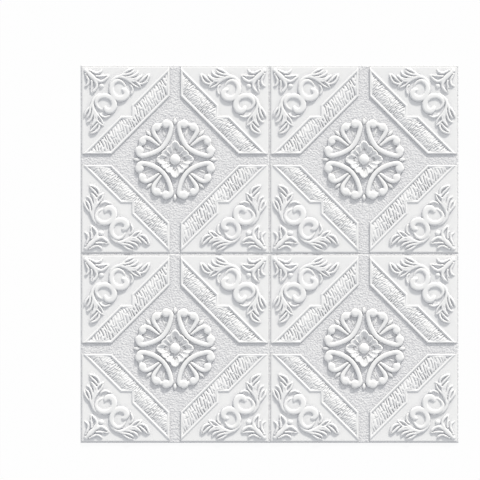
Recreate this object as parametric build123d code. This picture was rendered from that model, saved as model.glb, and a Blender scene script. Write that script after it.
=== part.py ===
from build123d import *
import os
from math import cos, radians, sin, sqrt

# Embossed foam wall panel: one moulded sheet, square tiles in relief on its face, plain flat back.
# It lies on its back at z = 0, with the origin under the middle of the sheet.
# A tile has the symmetry of a square, so one quarter of it is modelled and turned about the middle.

# Sheet
panel_side = 700.0
tiles_per_side = 2
ground_level = 2.4
groove_half_width = 3.6
groove_floor = 1.2

# Corner plates and the bars that frame the sunk ground
plate_rise = 1.2
channel_width = 20.0
bar_width = 38.0
bar_tip_margin = 4.0
notch_depth = 14.4
bead_width = 4.6
bead_rise = 2.6
bead_slope = 1.6
cushion_edge_rise = 1.0
cushion_crown_rise = 2.6

# Rosette bows: each hugs the flower, then curls into a round eye
bow_offset = 8.0
bow_radius = 50.0
bow_stem = 6.5
bow_half_width = 5.4
bow_rise = 4.9
bow_eye_shift = 7.8
bow_eye_radius = 9.4
bow_eye_rise = 5.5

# Rosette sprigs: a pair inside each bow, curling the other way
sprig_root_near = 25.5
sprig_root_far = 29.0
sprig_heading = 43.0
sprig_radius = 47.0
sprig_turn = 42.0
sprig_half_width = 4.0
sprig_rise = 4.4
sprig_eye_shift = 6.5
sprig_eye_radius = 8.2
sprig_eye_rise = 5.4

# Flower in the middle of the rosette, and the darts that point away from it
petals = 4
flower_reach = 35.0
flower_waist = 28.5
flower_rise = 4.4
flower_slope = 2.0
flower_rim = 5.0
petal_depth = 2.6
button_radius = 9.8
button_shoulder_rise = 4.0
button_crest = 5.6
button_rise = 5.6
dart_length = 11.0
dart_half_width = 3.4
dart_rise = 3.0
axis_dart_start = 66.0
diagonal_dart_start = 63.0

# C-scrolls on a corner plate, placed from the tile's corner
scroll_along = 71.0
scroll_inset = 44.0
scroll_radius = 15.8
scroll_half_width = 5.4
scroll_rise = 4.2
scroll_opening_start = 115.0
scroll_opening_turn = 80.0
scroll_eye_radius = 6.0
scroll_eye_rise = 4.2

# Small round forms have a few flat slopes
eye_slope = 3.0
eye_sides = 8
scroll_eye_sides = 6
button_sides = 12
scroll_sides = 16

# Leaf spray behind each scroll: heading, length and half width of each leaf
leaf_rise = 3.2
spray_root_along = 85.0
spray_root_inset = 27.0
spray_fan = [(122.0, 25.0, 4.5), (144.0, 28.0, 4.5), (167.0, 44.0, 6.5), (209.0, 32.0, 5.0)]

# Palmette at the tile's corner: where each side leaf starts from the corner, then its heading and size
palmette_fan = [(29.0, 30.0, 157.0, 27.0, 4.2), (23.0, 18.0, 144.0, 21.0, 3.6)]
palmette_inset = 32.0
palmette_tip = (45.0, 36.0, 5.0)

# Depth that every raised form runs down into the sheet
root = 1.0

tile_side = panel_side / tiles_per_side
tile_half = tile_side / 2
channel_half = channel_width / 2
plate_level = ground_level + plate_rise
outer_line = tile_half - bar_tip_margin + channel_half
inner_line = outer_line - bar_width * sqrt(2)
notch_tip = (outer_line - notch_depth * sqrt(2)) / 2


def ring_corners(radius, sides):
    """Corners of a regular outline about the origin."""
    angles = [radians(360 * step / sides) for step in range(sides)]
    return [(radius * cos(angle), radius * sin(angle)) for angle in angles]


def prism(corners, low, high):
    """Outline raised straight up from one level to another."""
    return extrude(Pos(Z=low) * Polygon(*corners, align=None), high - low)


def drafted(lower, upper, low, high):
    """Solid with flat slopes between two outlines that have the same number of corners."""
    bottom = [Vector(x, y, low) for x, y in lower]
    top = [Vector(x, y, high) for x, y in upper]
    faces = [Face(Wire.make_polygon(bottom)), Face(Wire.make_polygon(top))]
    for step in range(len(bottom)):
        after = (step + 1) % len(bottom)
        faces.append(Face(Wire.make_polygon([bottom[step], bottom[after], top[after], top[step]])))
    return Solid(Shell(faces))


def bar_corners(inset):
    """Corners of the bar in a tile's first quarter, drawn inset from its outer edges."""
    edge = channel_half + inset
    outer = outer_line - inset * sqrt(2)
    inner = inner_line + inset * sqrt(2)
    notch = notch_tip - inset
    return [
        (edge, outer - edge),
        (edge, inner - edge),
        (inner - edge, edge),
        (outer - edge, edge),
        (outer - notch, notch),
        (notch, notch),
        (notch, outer - notch),
    ]


def bar():
    """Bead around a bar, and the crowned cushion that the bead holds."""
    bead_top = ground_level + bead_rise
    bead = drafted(bar_corners(0), bar_corners(bead_slope), ground_level, bead_top)
    pocket = drafted(bar_corners(bead_width), bar_corners(bead_width - bead_slope), ground_level, bead_top)
    inner_half = bar_width / 2 - bead_width
    sag = cushion_crown_rise - cushion_edge_rise
    crown_radius = (inner_half**2 + sag**2) / (2 * sag)
    middle_line = (outer_line + inner_line) / 4
    crown_place = Pos(middle_line, middle_line, ground_level + cushion_crown_rise - crown_radius)
    crown = crown_place * Rot(Z=-45) * Rot(Y=90) * Cylinder(crown_radius, 2 * tile_side)
    cushion = prism(bar_corners(bead_width / 2), ground_level - root, bead_top) & crown
    return (bead - pocket) + cushion


def plate():
    """Corner plate, from under the bar's outer bead out to the tile's corner."""
    edge = channel_half
    under = outer_line - bead_width / sqrt(2)
    notch = notch_tip - bead_width / 2
    corners = [
        (edge, tile_half),
        (edge, under - edge),
        (notch, under - notch),
        (notch, notch),
        (under - notch, notch),
        (under - edge, edge),
        (tile_half, edge),
        (tile_half, tile_half),
    ]
    return prism(corners, ground_level - root, plate_level)


def rib_section(half_width, rise):
    """Ridged rib section on a root, upright in the XZ plane, standing on the ground."""
    corners = [(-half_width, -root), (half_width, -root), (half_width, 0), (0, rise), (-half_width, 0)]
    return Plane.XZ * Pos(Y=ground_level) * Polygon(*corners, align=None)


def bend(start, heading, radius, turn, section):
    """Rib that bends from a point, to the left for a positive turn. Returns it with its end and heading."""
    side = 1 if turn > 0 else -1
    placed = Pos(*start) * Rot(Z=heading - 90) * section
    centre_x = start[0] - side * radius * sin(radians(heading))
    centre_y = start[1] + side * radius * cos(radians(heading))
    piece = revolve(placed, Axis((centre_x, centre_y, 0), (0, 0, side)), abs(turn))
    heading += turn
    end_x = centre_x + side * radius * sin(radians(heading))
    end_y = centre_y - side * radius * cos(radians(heading))
    return piece, (end_x, end_y), heading


def eye(place, radius, rise, level, sides):
    """Knob with flat slopes, on a root."""
    foot = ring_corners(radius, sides)
    crest = ring_corners(radius - eye_slope, sides)
    return Pos(*place) * drafted(foot, crest, level - root, level + rise)


def leaf(place, heading, length, half_width, rise, level):
    """Chiselled leaf: four slopes that meet over its belly, run down into the sheet at the same slope."""
    belly = length / 2
    spread = (rise + root) / rise
    low = level - root
    corners = [
        Vector(belly - belly * spread, 0, low),
        Vector(belly, -half_width * spread, low),
        Vector(belly + belly * spread, 0, low),
        Vector(belly, half_width * spread, low),
    ]
    peak = Vector(belly, 0, level + rise)
    slopes = [Face(Wire.make_polygon([corners[step - 1], corners[step], peak])) for step in range(4)]
    body = Solid(Shell([Face(Wire.make_polygon(corners)), *slopes]))
    return Pos(*place) * Rot(Z=heading) * body


def mirrored(pieces):
    """Pieces and their mirror images across the quarter's diagonal."""
    diagonal = Plane(origin=(0, 0, 0), z_dir=(1, -1, 0))
    return pieces + [mirror(piece, about=diagonal) for piece in pieces]


def rosette_quarter():
    """Bow that hugs the flower, two sprigs inside it, all ending in eyes, and a dart between them."""
    bow_section = rib_section(bow_half_width, bow_rise)
    centre = bow_offset + bow_radius
    half_way = centre - bow_radius / sqrt(2)
    bow, bow_end, _ = bend((half_way, half_way), 135, bow_radius, -45, bow_section)
    stem = extrude(Pos(*bow_end) * bow_section, bow_stem, dir=(0, 1, 0))
    bow_eye_place = (bow_end[0] + bow_eye_shift, bow_end[1] + bow_stem)
    bow_eye = eye(bow_eye_place, bow_eye_radius, bow_eye_rise, ground_level, eye_sides)
    sprig_section = rib_section(sprig_half_width, sprig_rise)
    sprig_start = (sprig_root_near, sprig_root_far)
    sprig, sprig_end, heading = bend(sprig_start, sprig_heading, sprig_radius, sprig_turn, sprig_section)
    sprig_eye_x = sprig_end[0] - sprig_eye_shift * sin(radians(heading))
    sprig_eye_y = sprig_end[1] + sprig_eye_shift * cos(radians(heading))
    sprig_eye_place = (sprig_eye_x, sprig_eye_y)
    sprig_eye = eye(sprig_eye_place, sprig_eye_radius, sprig_eye_rise, ground_level, eye_sides)
    start = diagonal_dart_start / sqrt(2)
    dart = leaf((start, start), 45, dart_length, dart_half_width, dart_rise, ground_level)
    return mirrored([bow, stem, bow_eye, sprig, sprig_eye]) + [dart]


def scroll():
    """C-scroll: a ridged ring with a gap, and an eye at one end of the gap."""
    crest_level = plate_level + scroll_rise
    crest = ring_corners(scroll_radius, scroll_sides)
    outer = ring_corners(scroll_radius + scroll_half_width, scroll_sides)
    inner = ring_corners(scroll_radius - scroll_half_width, scroll_sides)
    ring = drafted(outer, crest, plate_level, crest_level) - drafted(inner, crest, plate_level, crest_level)
    first = radians(scroll_opening_start)
    last = radians(scroll_opening_start + scroll_opening_turn)
    reach = 3 * scroll_radius
    wedge = [(0, 0), (reach * cos(first), reach * sin(first)), (reach * cos(last), reach * sin(last))]
    gap = prism(wedge, plate_level, crest_level)
    eye_x = (scroll_radius - scroll_eye_radius + scroll_half_width) * cos(last)
    eye_y = (scroll_radius - scroll_eye_radius + scroll_half_width) * sin(last)
    knob = eye((eye_x, eye_y), scroll_eye_radius, scroll_eye_rise, plate_level, scroll_eye_sides)
    return Pos(tile_half - scroll_along, tile_half - scroll_inset) * ((ring - gap) + knob)


def corner_ornament():
    """Pair of C-scrolls with their leaf sprays, one on each side of the diagonal, and the palmette."""
    spray_root = (tile_half - spray_root_along, tile_half - spray_root_inset)
    spray = [leaf(spray_root, *size, leaf_rise, plate_level) for size in spray_fan]
    fan = []
    for along, inset, *size in palmette_fan:
        fan.append(leaf((tile_half - along, tile_half - inset), *size, leaf_rise, plate_level))
    palmette_root = (tile_half - palmette_inset, tile_half - palmette_inset)
    tip = leaf(palmette_root, *palmette_tip, leaf_rise, plate_level)
    return mirrored([scroll(), *spray, *fan]) + [tip]


def quarter():
    """A quarter of a tile: its ground and everything raised on it."""
    ground = Box(tile_half, tile_half, ground_level, align=Align.MIN)
    return ground.fuse(plate(), bar(), *rosette_quarter(), *corner_ornament())


def petal_corners(share):
    """Corners of the flower at a share of its size, out at each petal's tip and in between the petals."""
    tips = ring_corners(share * flower_reach, petals)
    waist = share * flower_waist / sqrt(2)
    waists = [(waist, waist), (-waist, waist), (-waist, -waist), (waist, -waist)]
    return [corner for pair in zip(tips, waists) for corner in pair]


def flower():
    """Four petals that slope down to a button, in the middle of the rosette."""
    top = ground_level + flower_rise
    crest = petal_corners(1 - flower_slope / flower_reach)
    block = drafted(petal_corners(1), crest, ground_level, top)
    throat = petal_corners(button_radius / flower_waist)
    mouth = petal_corners(1 - flower_rim / flower_reach)
    pocket = drafted(throat, mouth, top - petal_depth, top)
    drum = ring_corners(button_radius, button_sides)
    shoulder = ground_level + button_shoulder_rise
    foot = prism(drum, ground_level, shoulder)
    crown = drafted(drum, ring_corners(button_crest, button_sides), shoulder, ground_level + button_rise)
    return (block - pocket).fuse(foot, crown)


def tile():
    """Four quarters turned about the tile's middle, with the flower and the darts on its axes."""
    first = quarter()
    turned = [Rot(Z=90 * step) * first for step in range(1, 4)]
    dart = leaf((axis_dart_start, 0), 0, dart_length, dart_half_width, dart_rise, ground_level)
    darts = [Rot(Z=90 * step) * dart for step in range(4)]
    return first.fuse(*turned, flower(), *darts)


def groove(length):
    """V cut between tiles, running along X."""
    depth = plate_level - groove_floor
    over = depth + root
    half = groove_half_width * over / depth
    top = groove_floor + over
    section = Plane.YZ * Polygon((0, groove_floor), (half, top), (-half, top), align=None)
    return Pos(X=-length / 2) * extrude(section, length)


def panel():
    """Tiles side by side, with a V groove along every seam and a bevel along every outer edge."""
    one = tile()
    places = [(step - (tiles_per_side - 1) / 2) * tile_side for step in range(tiles_per_side)]
    tiles = [Pos(x, y) * one for x in places for y in places]
    sheet = tiles[0].fuse(*tiles[1:])
    seams = [(step - tiles_per_side / 2) * tile_side for step in range(tiles_per_side + 1)]
    cut = groove(panel_side + 2 * tile_side)
    along_x = [Pos(Y=seam) * cut for seam in seams]
    along_y = [Pos(X=seam) * Rot(Z=90) * cut for seam in seams]
    return sheet.cut(*along_x, *along_y)


os.makedirs("parts", exist_ok=True)
export_step(panel(), "parts/foam_panel.step")
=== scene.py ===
import math
import bmesh
import bpy
import numpy as np
from mathutils import Matrix, Vector


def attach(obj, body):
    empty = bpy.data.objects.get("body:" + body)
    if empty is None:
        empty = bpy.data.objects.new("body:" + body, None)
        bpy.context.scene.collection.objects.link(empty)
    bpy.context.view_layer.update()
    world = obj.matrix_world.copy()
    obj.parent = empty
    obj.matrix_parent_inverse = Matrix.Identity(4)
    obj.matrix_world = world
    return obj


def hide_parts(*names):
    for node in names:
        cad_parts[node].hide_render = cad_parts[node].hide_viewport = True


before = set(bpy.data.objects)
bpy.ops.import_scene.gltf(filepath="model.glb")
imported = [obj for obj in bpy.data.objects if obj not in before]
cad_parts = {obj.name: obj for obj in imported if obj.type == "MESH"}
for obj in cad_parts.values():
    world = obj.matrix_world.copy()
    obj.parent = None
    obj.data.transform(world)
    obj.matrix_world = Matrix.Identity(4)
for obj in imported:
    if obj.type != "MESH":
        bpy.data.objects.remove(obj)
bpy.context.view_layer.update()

mm = 0.001  # all relief sizes below are millimetres on one tile, measured from its middle

# the relief repeats in each eighth of a tile, so every path is drawn once,
# between the upright middle line and the diagonal: points are (x, y, half width, rise)

sheet = {
    "side": 700.0, "tiles": 2, "ground": 2.4, "plate": 3.6, "grooveHalf": 3.6, "grooveFloor": 1.2,
    "limit": 7.98,  # just under the thickness of the CAD panel
}
tileSide = sheet["side"] / sheet["tiles"]
tileHalf = tileSide / 2


def curveThrough(points, steps):
    fixed = np.array(points, float)
    ends = np.vstack([2 * fixed[0] - fixed[1], fixed, 2 * fixed[-1] - fixed[-2]])
    t = np.linspace(0, 1, steps, endpoint=False)[:, None]
    rows = []
    for a, b, c, d in zip(ends, ends[1:], ends[2:], ends[3:]):
        bend = (c - a) * t + (2 * a - 5 * b + 4 * c - d) * t**2 + (3 * b - a - 3 * c + d) * t**3
        rows.append(b + 0.5 * bend)
    rows.append(fixed[-1:])
    return np.vstack(rows)


# a higher crest number gives a flatter top and steeper sides

def ribRise(px, py, points, crest=4.0, steps=7):
    path = curveThrough(points, steps)
    rise = np.zeros_like(px)
    for (ax, ay, aw, ar), (bx, by, bw, br) in zip(path[:-1], path[1:]):
        reach = max(aw, bw)
        near = (px > min(ax, bx) - reach) & (px < max(ax, bx) + reach)
        near &= (py > min(ay, by) - reach) & (py < max(ay, by) + reach)
        qx, qy = px[near] - ax, py[near] - ay
        dx, dy = bx - ax, by - ay
        t = np.clip((qx * dx + qy * dy) / (dx * dx + dy * dy + 1e-9), 0, 1)
        share = np.hypot(qx - t * dx, qy - t * dy) / (aw + (bw - aw) * t)
        body = (ar + (br - ar) * t) * np.sqrt(np.clip(1 - share**crest, 0, None))
        rise[near] = np.maximum(rise[near], body)
    return rise


def domeRise(px, py, dome, crest=2.0):
    x, y, radius, top = dome
    share = np.hypot(px - x, py - y) / radius
    return top * np.sqrt(np.clip(1 - share**crest, 0, None))


def ease(value, low, high):
    t = np.clip((value - low) / (high - low), 0, 1)
    return t * t * (3 - 2 * t)


# bars: a rounded bead all round, and a crowned cushion cut like bark

bars = {
    "channelHalf": 10.0, "outerLine": 181.0, "innerLine": 127.3, "notch": 80.3,
    "bead": 4.6, "beadTop": 5.4, "beadCrest": 2.2,
    "cushionEdge": 2.7, "cushionTop": 5.7, "cushionHalf": 15.0,
    "seat": (0.7, 0.95),  # where the cushion rises from the bead, in bead widths
    "cutMargin": (0.2, 2.2),  # where the cuts start inside the bead
}
bark = {
    "risingSpacing": 5.6, "risingLean": 0.42, "risingDepth": 2.5, "risingSharpness": 3.4,
    "fallingSpacing": 3.6, "fallingLean": 0.14, "fallingDepth": 2.1, "fallingSharpness": 2.0,
    "turns": (1.7, 2.9),  # gives each bar of a tile its own run of cuts
    "wander": [(1.1, 0.13, 0.11, 1), (0.8, 0.31, -0.22, 2)],  # size, run along, run across, turns
    "strength": (0.72, 0.28, 12.99),  # middle, swing, step from cut to cut
    "gaps": (0.33, 2.4, -0.98, -0.55),  # run across, step from cut to cut, closed below, open above
    "crackDepth": 1.5, "crackWidth": 0.8,
    "crackWander": [(2.6, 0.09, 1.3), (1.3, 0.31, 1.0)],  # size, run along, turns
    "crackGaps": (0.37, -0.5, 0.3),  # run along, closed below, open above
}


def barCorners():
    edge, outer, inner, notch = bars["channelHalf"], bars["outerLine"], bars["innerLine"], bars["notch"]
    return [
        (edge, outer - edge), (edge, inner - edge), (inner - edge, edge), (outer - edge, edge),
        (outer - notch, notch), (notch, notch), (notch, outer - notch),
    ]


def outlineDepth(px, py, corners):
    distance = np.full_like(px, 1e9)
    inside = np.zeros(px.shape, bool)
    for (ax, ay), (bx, by) in zip(corners, corners[1:] + corners[:1]):
        dx, dy = bx - ax, by - ay
        qx, qy = px - ax, py - ay
        t = np.clip((qx * dx + qy * dy) / (dx * dx + dy * dy), 0, 1)
        distance = np.minimum(distance, np.hypot(qx - t * dx, qy - t * dy))
        if ay != by:
            inside ^= ((ay > py) != (by > py)) & (px < ax + dx * (py - ay) / dy)
    return np.where(inside, distance, -distance)


def barkCuts(x, y, across):
    rising = x * y < 0  # bars that climb to the right have longer, wider-spaced cuts

    def pick(name):
        return np.where(rising, bark["rising" + name], bark["falling" + name])

    along = np.sign(x * y) * (np.abs(x) - np.abs(y)) / math.sqrt(2)  # clockwise round the tile
    turn = bark["turns"][0] * np.sign(x) + bark["turns"][1] * np.sign(y)
    wander = sum(
        size * np.sin(runAlong * along + runAcross * across + turns * turn)
        for size, runAlong, runAcross, turns in bark["wander"])
    phase = (along - pick("Lean") * across + wander) / pick("Spacing")
    stroke = np.round(phase)
    middle, swing, step = bark["strength"]
    amount = middle + swing * np.sin(step * stroke + turn)
    runAcross, step, closed, opened = bark["gaps"]
    breaks = ease(np.sin(runAcross * across + step * stroke + turn), closed, opened)
    groove = (0.5 + 0.5 * np.cos(2 * math.pi * phase)) ** pick("Sharpness")
    cut = pick("Depth") * amount * breaks * groove
    crackAt = sum(
        size * np.sin(runAlong * along + turns * turn) for size, runAlong, turns in bark["crackWander"])
    crack = bark["crackDepth"] * np.exp(-(((across - crackAt) / bark["crackWidth"]) ** 2))
    runAlong, closed, opened = bark["crackGaps"]
    return np.maximum(cut, crack * ease(np.sin(runAlong * along + turn), closed, opened))


def barRelief(x, y, px, py, z):
    depth = outlineDepth(px, py, barCorners())
    ground, bead = sheet["ground"], bars["bead"]
    share = np.abs(depth - bead / 2) / (bead / 2)
    floor = np.where(depth > bead / 2, ground, z)
    bulge = np.sqrt(np.clip(1 - share ** bars["beadCrest"], 0, None))
    beadZ = ground + (bars["beadTop"] - ground) * bulge
    z = np.where(depth > 0, np.maximum(floor, beadZ), z)
    across = (px + py - (bars["outerLine"] + bars["innerLine"]) / 2) / math.sqrt(2)
    crown = np.clip(1 - (across / bars["cushionHalf"]) ** 2, 0, 1)
    cushion = bars["cushionEdge"] + (bars["cushionTop"] - bars["cushionEdge"]) * crown
    cutFrom, cutFull = bars["cutMargin"]
    cushion = cushion - barkCuts(x, y, across) * ease(depth, bead + cutFrom, bead + cutFull)
    seatFrom, seatFull = bead * bars["seat"][0], bead * bars["seat"][1]
    seated = ground + (cushion - ground) * ease(depth, seatFrom, seatFull)
    return np.where(depth > seatFrom, np.maximum(z, seated), z)


# rosette: four bows that curl over into lobes, a pair of sprigs inside each, darts between

rosette = {
    "bow": [
        (23.0, 23.0, 4.3, 4.6), (19.2, 27.6, 4.4, 4.6), (15.2, 34.0, 4.5, 4.6), (11.8, 41.2, 4.5, 4.7),
        (9.2, 49.0, 4.4, 4.7), (7.6, 56.0, 4.4, 4.8), (7.4, 62.0, 4.8, 4.9), (10.6, 66.4, 5.4, 5.0),
        (16.0, 66.2, 6.2, 5.1),
    ],
    "bowLobe": (16.4, 65.9, 8.3, 5.1),
    "lobeFold": [(18.0, 66.8, 4.0, 4.0), (25.4, 64.4, 3.6, 2.6), (33.0, 62.2, 4.0, 4.0)],
    "sprig": [
        (26.6, 30.4, 2.3, 3.6), (31.4, 37.0, 2.9, 4.0), (36.4, 43.8, 3.7, 4.3), (39.6, 50.0, 4.1, 4.6),
        (39.8, 56.2, 4.3, 4.8), (37.0, 60.6, 5.0, 4.9), (33.6, 60.2, 6.0, 5.0),
    ],
    "sprigLobe": (33.8, 60.2, 7.4, 5.0),
    "pocketVein": [(23.8, 57.5, 1.0, 0.6), (21.0, 50.0, 1.8, 1.1), (18.8, 44.0, 1.5, 0.9)],
    "axisDart": [(0.0, 66.0, 2.0, 1.8), (0.0, 71.0, 3.2, 3.0), (0.0, 77.0, 0.8, 1.0)],
    "cornerDart": [(43.5, 43.5, 1.2, 1.2), (48.5, 48.5, 3.0, 2.8), (54.0, 54.0, 0.8, 1.0)],
    "crest": 5.0,
}

# bowlFrom, scoopStart and fluteStart are shares of the way out, scoopEnd of the way back in
flower = {
    "tip": 35.0, "tipCurve": 1.4, "cusp": 27.4, "diagonal": 25.4,
    "petalHalfAngle": 21.0, "lobeBulge": 1.9,
    "rim": 5.5, "bowlFrom": 0.28, "rimFall": 1.5, "ball": (0.0, 0.0, 9.8, 5.5),
    "scoop": 1.5, "scoopCurve": 4, "scoopStart": (0.3, 0.6), "scoopEnd": (0.06, 0.24),
    "flute": 0.55, "flutes": 5, "fluteStart": (0.35, 0.6),
    "diagonalRidge": [(9.0, 9.0, 0.8, 1.6), (13.4, 13.4, 1.6, 4.2), (17.6, 17.6, 1.6, 5.2)],
    "cuspRidge": [(5.4, 14.2, 0.6, 1.0), (7.4, 19.2, 1.2, 3.0), (9.4, 24.4, 1.2, 4.8)],
    "ridgeCrest": 2.0,
}


def flowerRise(px, py):
    radius = np.hypot(px, py)
    angle = np.degrees(np.arctan2(px, py))  # 0 on the axis, 45 on the diagonal
    split = flower["petalHalfAngle"]
    petal = np.clip(angle / split, 0, 1)
    lobe = np.clip((angle - (split + 45) / 2) / ((45 - split) / 2), -1, 1)
    onPetal = angle < split
    petalEdge = flower["cusp"] + (flower["tip"] - flower["cusp"]) * (1 - petal**2) ** flower["tipCurve"]
    slide = (angle - split) / (45 - split)
    lobeEdge = flower["cusp"] + (flower["diagonal"] - flower["cusp"]) * slide
    lobeEdge = lobeEdge + flower["lobeBulge"] * np.sqrt(np.clip(1 - lobe**2, 0, 1))
    edge = np.where(onPetal, petalEdge, lobeEdge)
    outward = radius / edge
    side = np.where(onPetal, petal, lobe)
    scoop = flower["scoop"] * (1 - side ** flower["scoopCurve"])
    scoop = scoop * ease(outward, *flower["scoopStart"]) * ease(1 - outward, *flower["scoopEnd"])
    flute = flower["flute"] * np.cos(flower["flutes"] * math.pi * petal) * onPetal
    flute = flute * ease(outward, *flower["fluteStart"])
    level = flower["rim"] * ease(outward, flower["bowlFrom"], 1.0) - scoop + flute
    petals = level * np.sqrt(np.clip((edge - radius) / flower["rimFall"], 0, 1))
    rise = np.maximum(petals, domeRise(px, py, flower["ball"]))
    for ridge in ("diagonalRidge", "cuspRidge"):
        rise = np.maximum(rise, ribRise(px, py, flower[ridge], crest=flower["ridgeCrest"]))
    return rise


def rosetteRise(px, py):
    rise = flowerRise(px, py)
    for rib in ("bow", "sprig", "lobeFold", "pocketVein", "axisDart", "cornerDart"):
        rise = np.maximum(rise, ribRise(px, py, rosette[rib], crest=rosette["crest"]))
    for lobe in ("bowLobe", "sprigLobe"):
        rise = np.maximum(rise, domeRise(px, py, rosette[lobe], crest=rosette["crest"]))
    return rise


# corner plates: a C-scroll, the leaf spray behind it, and a palmette on the diagonal

scroll = {
    "path": [
        (96.2, 129.2, 2.8, 3.6), (92.0, 127.2, 4.6, 4.1), (89.6, 121.8, 5.5, 4.2),
        (93.0, 115.6, 5.8, 4.3), (101.4, 112.6, 5.6, 4.3), (110.8, 115.8, 5.3, 4.3),
        (116.6, 124.2, 4.9, 4.3), (117.6, 133.6, 4.6, 4.2), (113.6, 141.8, 4.0, 4.0),
        (106.0, 146.0, 3.3, 3.7), (99.0, 144.0, 2.5, 3.2), (93.8, 138.6, 1.8, 2.6),
        (91.4, 133.4, 1.0, 1.6),
    ],
    "eye": (104.0, 129.4, 15.0, 1.5), "crest": 6.0, "steps": 6,
}
spray = {
    "stem": [
        (121.0, 139.0, 1.6, 2.0), (117.6, 145.2, 2.2, 2.7), (110.0, 151.2, 2.8, 3.2),
        (102.8, 153.2, 3.0, 3.5), (94.0, 151.2, 3.0, 3.6), (87.0, 147.4, 2.8, 3.6),
        (81.6, 143.2, 2.2, 3.5), (77.0, 138.4, 1.8, 3.2), (71.0, 134.8, 1.8, 3.1),
        (62.4, 132.4, 1.0, 1.7),
    ],
    "ribs": [
        [
            (47.4, 158.0, 0.8, 1.5), (49.0, 153.2, 1.9, 3.6), (51.4, 147.0, 2.2, 3.8),
            (55.8, 142.2, 2.2, 3.8), (61.0, 140.2, 2.1, 3.7), (66.0, 140.6, 1.6, 2.8),
        ],
        [
            (48.2, 158.2, 0.8, 1.5), (51.8, 156.2, 1.9, 3.3), (57.2, 151.2, 2.2, 3.8),
            (62.0, 146.8, 2.1, 3.7), (67.0, 143.0, 1.6, 2.8),
        ],
        [
            (61.6, 156.2, 0.8, 1.5), (64.0, 153.2, 1.9, 3.4), (68.8, 148.8, 2.2, 3.8),
            (73.2, 145.8, 2.2, 3.8), (77.6, 145.0, 2.2, 3.8), (83.4, 147.4, 1.9, 3.6),
        ],
        [
            (65.0, 155.0, 0.8, 1.5), (68.4, 151.6, 1.7, 3.3), (75.0, 149.4, 1.8, 3.6),
            (82.0, 149.2, 1.9, 3.7), (88.0, 150.4, 1.7, 3.3),
        ],
        [
            (69.0, 163.6, 0.8, 1.5), (70.4, 159.6, 1.9, 3.4), (73.6, 156.6, 2.2, 3.8),
            (78.8, 154.4, 2.2, 3.8), (86.4, 152.4, 2.2, 3.8), (93.0, 151.8, 1.9, 3.6),
        ],
        [
            (76.4, 164.6, 0.8, 1.5), (79.0, 161.9, 1.9, 3.4), (83.0, 159.5, 2.2, 3.8),
            (89.6, 157.4, 2.2, 3.8), (97.6, 156.6, 2.1, 3.6), (104.0, 154.6, 1.7, 3.1),
        ],
        [
            (77.2, 168.6, 0.8, 1.4), (82.0, 167.4, 1.9, 3.2), (86.8, 165.4, 2.2, 3.4),
            (92.2, 162.0, 2.1, 3.3), (96.6, 158.6, 1.6, 2.8),
        ],
        [
            (62.4, 132.6, 0.8, 1.5), (65.0, 136.8, 1.8, 3.4), (69.6, 142.0, 1.8, 3.4),
            (74.0, 145.4, 1.6, 3.1),
        ],
        [
            (84.4, 139.4, 1.0, 1.7), (80.2, 135.0, 1.9, 3.1), (78.6, 128.6, 1.9, 3.1),
            (80.4, 122.6, 1.8, 2.8), (82.6, 117.4, 0.7, 1.1),
        ],
    ],
}
palmette = {
    "ribs": [
        [
            (142.6, 142.6, 2.0, 3.0), (147.4, 147.4, 3.8, 3.7), (153.6, 153.6, 4.5, 3.9),
            (159.4, 159.4, 4.1, 3.7), (163.4, 163.4, 2.6, 3.2),
        ],
        [
            (122.2, 155.3, 0.8, 1.2), (126.3, 150.9, 2.2, 3.3), (131.0, 146.8, 2.5, 3.6),
            (135.4, 145.0, 2.6, 3.7), (140.6, 145.4, 2.8, 3.7), (146.0, 148.6, 2.8, 3.7),
        ],
        [
            (122.4, 155.3, 0.8, 1.2), (127.0, 155.6, 1.4, 2.7), (131.4, 154.6, 1.4, 2.7),
            (135.6, 154.6, 1.4, 3.0),
        ],
        [
            (132.4, 157.4, 0.8, 1.4), (135.8, 154.8, 1.8, 3.2), (140.5, 154.0, 2.0, 3.5),
            (145.8, 154.6, 2.0, 3.6),
        ],
        [
            (135.4, 167.6, 0.8, 1.2), (137.4, 163.2, 1.9, 3.1), (141.6, 160.7, 2.2, 3.5),
            (146.8, 160.4, 2.2, 3.6), (152.6, 162.8, 2.1, 3.6), (158.6, 165.4, 1.6, 3.2),
        ],
    ],
    "knob": (164.6, 164.6, 4.2, 3.3),
    "dot": (136.4, 136.4, 4.5, 3.2),
}


def cornerRise(px, py):
    rise = ribRise(px, py, scroll["path"], crest=scroll["crest"], steps=scroll["steps"])
    rise = np.maximum(rise, domeRise(px, py, scroll["eye"], crest=scroll["crest"]))
    for rib in [spray["stem"]] + spray["ribs"] + palmette["ribs"]:
        rise = np.maximum(rise, ribRise(px, py, rib))
    for dome in ("knob", "dot"):
        rise = np.maximum(rise, domeRise(px, py, palmette[dome]))
    return rise


def tileRelief(x, y):
    px = np.minimum(np.abs(x), np.abs(y))
    py = np.maximum(np.abs(x), np.abs(y))
    ground, plate = sheet["ground"], sheet["plate"]
    onPlate = (px > bars["channelHalf"]) & (px + py > bars["outerLine"] - bars["bead"])
    onPlate |= px > bars["notch"] - bars["bead"] / 2
    z = np.where(onPlate, plate, ground)
    z = barRelief(x, y, px, py, z)
    for level, rise in ((ground, rosetteRise(px, py)), (plate, cornerRise(px, py))):
        z = np.where(rise > 0, np.maximum(z, level + rise), z)
    bevel = sheet["grooveFloor"] + (plate - sheet["grooveFloor"]) * (tileHalf - py) / sheet["grooveHalf"]
    return np.minimum(np.minimum(z, bevel), sheet["limit"])


# mesh of one tile: a grid, split finest on the bars and on steep relief, less on other relief

mesh = {
    "cells": 137, "flatness": 0.14, "steep": 2.75, "fineCuts": 2, "ornamentCuts": 1,
    "wholeCell": 0.9,  # faces with no edge shorter than this share of a cell are still unsplit
    "softShare": 0.06,
}
# painted shade, in the manner of ambient occlusion: how far the relief around a point stands above it
paintedShade = {
    "reaches": (2.4, 8.0), "depths": (1.9, 6.0),  # how far round, and how low a point must sit for full painted shade
    "directions": 8,
}


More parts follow.
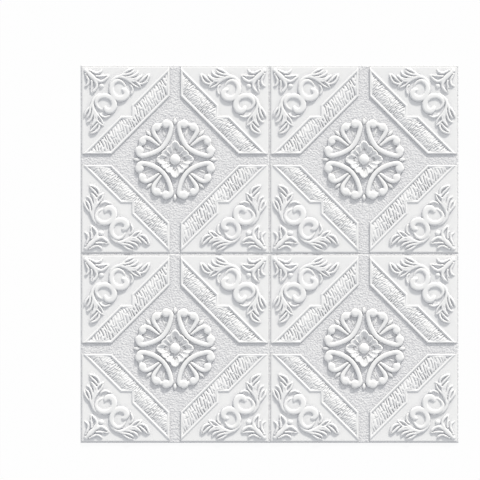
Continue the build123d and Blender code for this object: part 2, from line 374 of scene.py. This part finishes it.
def barDepth(spots):
    folded = np.sort(np.abs(spots), axis=1)
    return outlineDepth(folded[:, 0], folded[:, 1], barCorners())


def splitFaces(bm, wanted, cuts):
    # each edge once, in the order of the faces, so that every run numbers the points alike
    edges = dict.fromkeys(edge for face, chosen in zip(bm.faces, wanted) if chosen for edge in face.edges)
    bmesh.ops.subdivide_edges(bm, edges=list(edges), cuts=cuts, use_grid_fill=True)


def splitGrid(bm):
    cell = tileSide / mesh["cells"]
    middle = np.array([f.calc_center_median()[:2] for f in bm.faces], float) / mm
    offsets = [(i * cell / 2, j * cell / 2) for i in (-1, 0, 1) for j in (-1, 0, 1)]
    heights = np.array([tileRelief(middle[:, 0] + i, middle[:, 1] + j) for i, j in offsets])
    climb = np.ptp(heights, axis=0)
    fine = (barDepth(middle) > -cell / 2) | (climb > mesh["steep"])
    marks = bm.faces.layers.int.new("split")
    for face, ornament in zip(bm.faces, (climb > mesh["flatness"]) & ~fine):
        face[marks] = int(ornament)
    splitFaces(bm, fine, mesh["fineCuts"])
    wide = mesh["wholeCell"] * cell * mm
    wanted = [f[marks] == 1 and min(e.calc_length() for e in f.edges) > wide for f in bm.faces]
    splitFaces(bm, wanted, mesh["ornamentCuts"])
    bm.faces.layers.int.remove(marks)
    bmesh.ops.poke(bm, faces=[f for f in bm.faces if len(f.verts) > 4])


# painted shade: 0 on open faces, 1 in narrow gaps and at the foot of tall forms; the material darkens its
# colour with it
def paintedShadeShares(spots, level):
    sink = np.zeros(len(spots))
    angles = [2 * math.pi * k / paintedShade["directions"] for k in range(paintedShade["directions"])]
    for reach, depth in zip(paintedShade["reaches"], paintedShade["depths"]):
        ring = [(reach * math.cos(a), reach * math.sin(a)) for a in angles]
        around = np.mean([tileRelief(spots[:, 0] + i, spots[:, 1] + j) for i, j in ring], axis=0)
        sink = np.maximum(sink, (around - level) / depth)
    return np.clip(sink, 0, 1)


def closeBack(bm):
    walls = bmesh.ops.extrude_edge_only(bm, edges=[e for e in bm.edges if e.is_boundary])
    for vert in [g for g in walls["geom"] if isinstance(g, bmesh.types.BMVert)]:
        vert.co.z = 0
    foot = [g for g in walls["geom"] if isinstance(g, bmesh.types.BMEdge) and g.is_boundary]
    back = bmesh.ops.extrude_edge_only(bm, edges=foot)
    hub = [g for g in back["geom"] if isinstance(g, bmesh.types.BMVert)]
    bmesh.ops.pointmerge(bm, verts=hub, merge_co=Vector((0, 0, 0)))  # a fan from the middle of the back
    bmesh.ops.recalc_face_normals(bm, faces=bm.faces)


def makeTileMesh():
    bm = bmesh.new()
    bmesh.ops.create_grid(bm, x_segments=mesh["cells"], y_segments=mesh["cells"], size=tileHalf * mm)
    splitGrid(bm)
    spots = np.array([v.co[:2] for v in bm.verts], float) / mm
    level = tileRelief(spots[:, 0], spots[:, 1])
    # each point keeps its share of painted shade, for the material
    layer = bm.verts.layers.float.new("paintedShade")
    for vert, height, share in zip(bm.verts, level, paintedShadeShares(spots, level)):
        vert.co.z = height * mm
        vert[layer] = share
    offCushion = barDepth(spots) < bars["bead"]  # the cuts on the cushions stay sharp
    soft = [v for v, off in zip(bm.verts, offCushion) if off and not v.is_boundary]
    bmesh.ops.smooth_vert(bm, verts=soft, factor=mesh["softShare"], use_axis_z=True)
    for face in bm.faces:
        face.smooth = True
    closeBack(bm)
    print("tile mesh", len(bm.verts), "points", sum(len(f.verts) - 2 for f in bm.faces), "triangles")
    return bm


# materials

def toLinear(hexColour):
    parts = [int(hexColour[i:i + 2], 16) / 255 for i in (0, 2, 4)]
    return [p / 12.92 if p <= 0.04045 else ((p + 0.055) / 1.055) ** 2.4 for p in parts] + [1.0]


def addNode(tree, kind, settings=None, links=None):
    node = tree.nodes.new(kind)
    for key, value in (settings or {}).items():
        if isinstance(key, str) and hasattr(node, key):
            setattr(node, key, value)
        else:
            node.inputs[key].default_value = value
    for key, source in (links or {}).items():
        tree.links.new(source, node.inputs[key])
    return node


# sockets 6 and 7 take the two colours of a mix, and output 2 gives its colour
def mixColour(tree, share, first, second):
    settings, links = {"data_type": "RGBA"}, {0: share}
    for socket, colour in ((6, first), (7, second)):
        if isinstance(colour, str):
            settings[socket] = toLinear(colour)
        else:
            links[socket] = colour
    return addNode(tree, "ShaderNodeMix", settings, links).outputs[2]


# sizes in millimetres
foamLook = {
    # the two darkest colours are painted shade: one in the pebble pits of the sunk ground, one in narrow
    # gaps and at the foot of tall forms
    "face": "F7F7F6", "shade": "F2F2F2", "ground": "F4F4F4", "paintedPitShade": "DFDFE1", "paintedShade": "C6C7CB",
    "sunkBelow": 3.0, "sunkFully": 2.6,  # heights between which the skin turns into pebbled ground
    "pebble": 3.2, "pebbleDetail": 2.0, "pebbleRoughness": 0.55, "pebbleBump": 2.2,
    "pitRange": (0.35, 0.65),
    "cells": 0.9, "cellDetail": 1.0, "cellBump": 0.15, "cellStrength": 0.25,
    "drift": 70.0, "driftDetail": 2.0, "roughness": 0.62, "specular": 0.3,
}


def makeFoamMaterial():
    # closed-cell polyethylene foam, hot pressed: a soft matt white skin, with a pebbled sunk ground;
    # shade is painted into the colour in the pebble pits, in narrow gaps and at the foot of tall forms
    material = bpy.data.materials.new("embossed_xpe_foam")
    material.use_nodes = True
    tree = material.node_tree
    tree.nodes.clear()
    place = addNode(tree, "ShaderNodeTexCoord").outputs["Object"]
    height = addNode(tree, "ShaderNodeSeparateXYZ", links={0: place}).outputs["Z"]
    sunkEnds = {"From Min": foamLook["sunkBelow"] * mm, "From Max": foamLook["sunkFully"] * mm}
    sunk = addNode(tree, "ShaderNodeMapRange", sunkEnds, {"Value": height}).outputs[0]

    def noise(size, **settings):
        settings["Scale"] = 1 / (size * mm)
        return addNode(tree, "ShaderNodeTexNoise", settings, {"Vector": place}).outputs[0]

    pebble = noise(
        foamLook["pebble"], Detail=foamLook["pebbleDetail"], Roughness=foamLook["pebbleRoughness"])
    cells = noise(foamLook["cells"], Detail=foamLook["cellDetail"])
    drift = noise(foamLook["drift"], Detail=foamLook["driftDetail"])
    pebbles = addNode(tree, "ShaderNodeMath", {"operation": "MULTIPLY"}, {0: pebble, 1: sunk}).outputs[0]
    coarse = addNode(
        tree, "ShaderNodeBump", {"Strength": 1.0, "Distance": foamLook["pebbleBump"] * mm},
        {"Height": pebbles}).outputs[0]
    fine = addNode(
        tree, "ShaderNodeBump",
        {"Strength": foamLook["cellStrength"], "Distance": foamLook["cellBump"] * mm},
        {"Height": cells, "Normal": coarse}).outputs[0]
    # painted shade in the hollows of the pebbles, placed by the pebble noise
    pitEnds = {"From Min": foamLook["pitRange"][0], "From Max": foamLook["pitRange"][1]}
    pitShadeShare = addNode(tree, "ShaderNodeMapRange", pitEnds, {"Value": pebble}).outputs[0]
    # the last colour mixed in is painted shade in narrow gaps and at the foot of tall forms
    paintedShadeShare = addNode(tree, "ShaderNodeAttribute", {"attribute_name": "paintedShade"}).outputs["Fac"]
    skin = mixColour(tree, drift, foamLook["face"], foamLook["shade"])
    bed = mixColour(tree, pitShadeShare, foamLook["paintedPitShade"], foamLook["ground"])
    tone = mixColour(tree, paintedShadeShare, mixColour(tree, sunk, skin, bed), foamLook["paintedShade"])
    surface = addNode(
        tree, "ShaderNodeBsdfPrincipled",
        {"Roughness": foamLook["roughness"], "Specular IOR Level": foamLook["specular"]},
        {"Base Color": tone, "Normal": fine})
    addNode(tree, "ShaderNodeOutputMaterial", links={"Surface": surface.outputs[0]})
    return material


foam = makeFoamMaterial()
tileForm = makeTileMesh()
rows = {"near": -0.5, "far": 0.5}
columns = {"left": -0.5, "right": 0.5}
for rowName, row in rows.items():
    for columnName, column in columns.items():
        place = Matrix.Translation((column * tileSide * mm, row * tileSide * mm, 0))
        data = bpy.data.meshes.new(rowName + "_" + columnName + "_tile")
        tileForm.to_mesh(data)
        data.transform(place)
        data.materials.append(foam)
        tile = bpy.data.objects.new(data.name, data)
        bpy.context.scene.collection.objects.link(tile)
        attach(tile, "root")
        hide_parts("foam_panel")
tileForm.free()
print("four tiles placed")

# floor, light and camera

stageLook = {
    "floorSide": 14.0, "floorDrop": 0.2,  # metres, then millimetres
    "floorColour": "FAFAFA", "white": 0.9,
    "skyColour": "F9FBFF", "skyStrength": 0.645,
    "sunColour": "FFFBF4", "sunStrength": 2.95, "sunDistance": 2.0,
    "sunHeight": 20.5, "sunFrom": 70.0, "sunSize": 6.0,  # degrees
}


def whiteForCamera(tree):
    path = addNode(tree, "ShaderNodeLightPath").outputs
    seen = path["Is Camera Ray"]
    for ray in ("Is Glossy Ray", "Is Transmission Ray"):
        larger = addNode(tree, "ShaderNodeMath", {"operation": "MAXIMUM"}, {0: seen, 1: path[ray]})
        seen = larger.outputs[0]
    return seen


def makeFloor():
    bm = bmesh.new()
    bmesh.ops.create_grid(bm, x_segments=1, y_segments=1, size=stageLook["floorSide"] / 2)
    bmesh.ops.translate(bm, verts=bm.verts, vec=Vector((0, 0, -stageLook["floorDrop"] * mm)))
    data = bpy.data.meshes.new("studio_floor")
    bm.to_mesh(data)
    bm.free()
    material = bpy.data.materials.new("white_paper_sweep")
    material.use_nodes = True
    tree = material.node_tree
    tree.nodes.clear()
    # matt paper that takes the panel's shadow, mostly white to the camera
    paperColour = toLinear(stageLook["floorColour"])
    paper = addNode(tree, "ShaderNodeBsdfDiffuse", {"Color": paperColour}).outputs[0]
    glow = addNode(tree, "ShaderNodeEmission", {"Color": (1, 1, 1, 1), "Strength": 1.0}).outputs[0]
    share = addNode(
        tree, "ShaderNodeMath", {"operation": "MULTIPLY", 1: stageLook["white"]},
        {0: whiteForCamera(tree)})
    mix = addNode(tree, "ShaderNodeMixShader", links={0: share.outputs[0], 1: paper, 2: glow})
    addNode(tree, "ShaderNodeOutputMaterial", links={"Surface": mix.outputs[0]})
    data.materials.append(material)
    floor = bpy.data.objects.new("studio_floor", data)
    bpy.context.scene.collection.objects.link(floor)


def makeLight():
    world = bpy.data.worlds.new("pale_studio")
    bpy.context.scene.world = world
    world.use_nodes = True
    tree = world.node_tree
    tree.nodes.clear()
    sky = addNode(
        tree, "ShaderNodeBackground",
        {"Color": toLinear(stageLook["skyColour"]), "Strength": stageLook["skyStrength"]}).outputs[0]
    white = addNode(tree, "ShaderNodeBackground", {"Color": (1, 1, 1, 1), "Strength": 1.0}).outputs[0]
    mix = addNode(tree, "ShaderNodeMixShader", links={0: whiteForCamera(tree), 1: sky, 2: white})
    addNode(tree, "ShaderNodeOutputWorld", links={"Surface": mix.outputs[0]})
    lamp = bpy.data.lights.new("soft_window", "SUN")
    lamp.energy = stageLook["sunStrength"]
    lamp.color = toLinear(stageLook["sunColour"])[:3]
    lamp.angle = math.radians(stageLook["sunSize"])
    sun = bpy.data.objects.new("soft_window", lamp)
    height, side = math.radians(stageLook["sunHeight"]), math.radians(stageLook["sunFrom"])
    level = math.cos(height)
    toward = Vector((level * math.cos(side), level * math.sin(side), math.sin(height)))
    sun.rotation_euler = toward.to_track_quat("Z", "Y").to_euler()
    sun.location = toward * stageLook["sunDistance"]
    bpy.context.scene.collection.objects.link(sun)


# the frame is measured on the corner plates; height and reach are metres, the rest is millimetres
view = {"height": 4.0, "reach": 50.0, "x": -54.7, "y": 25.9, "frameWidth": 888.9, "sensor": 36.0}


def makeCamera():
    data = bpy.data.cameras.new("photo_camera")
    data.sensor_fit = "HORIZONTAL"
    data.sensor_width = view["sensor"]
    distance = view["height"] - sheet["plate"] * mm
    data.lens = view["sensor"] * distance / (view["frameWidth"] * mm)
    data.clip_end = view["reach"]
    camera = bpy.data.objects.new("photo_camera", data)
    camera.location = (view["x"] * mm, view["y"] * mm, view["height"])
    bpy.context.scene.collection.objects.link(camera)
    bpy.context.scene.camera = camera


makeFloor()
makeLight()
makeCamera()
bpy.context.scene.view_settings.view_transform = "Standard"
print("floor, light and camera set")
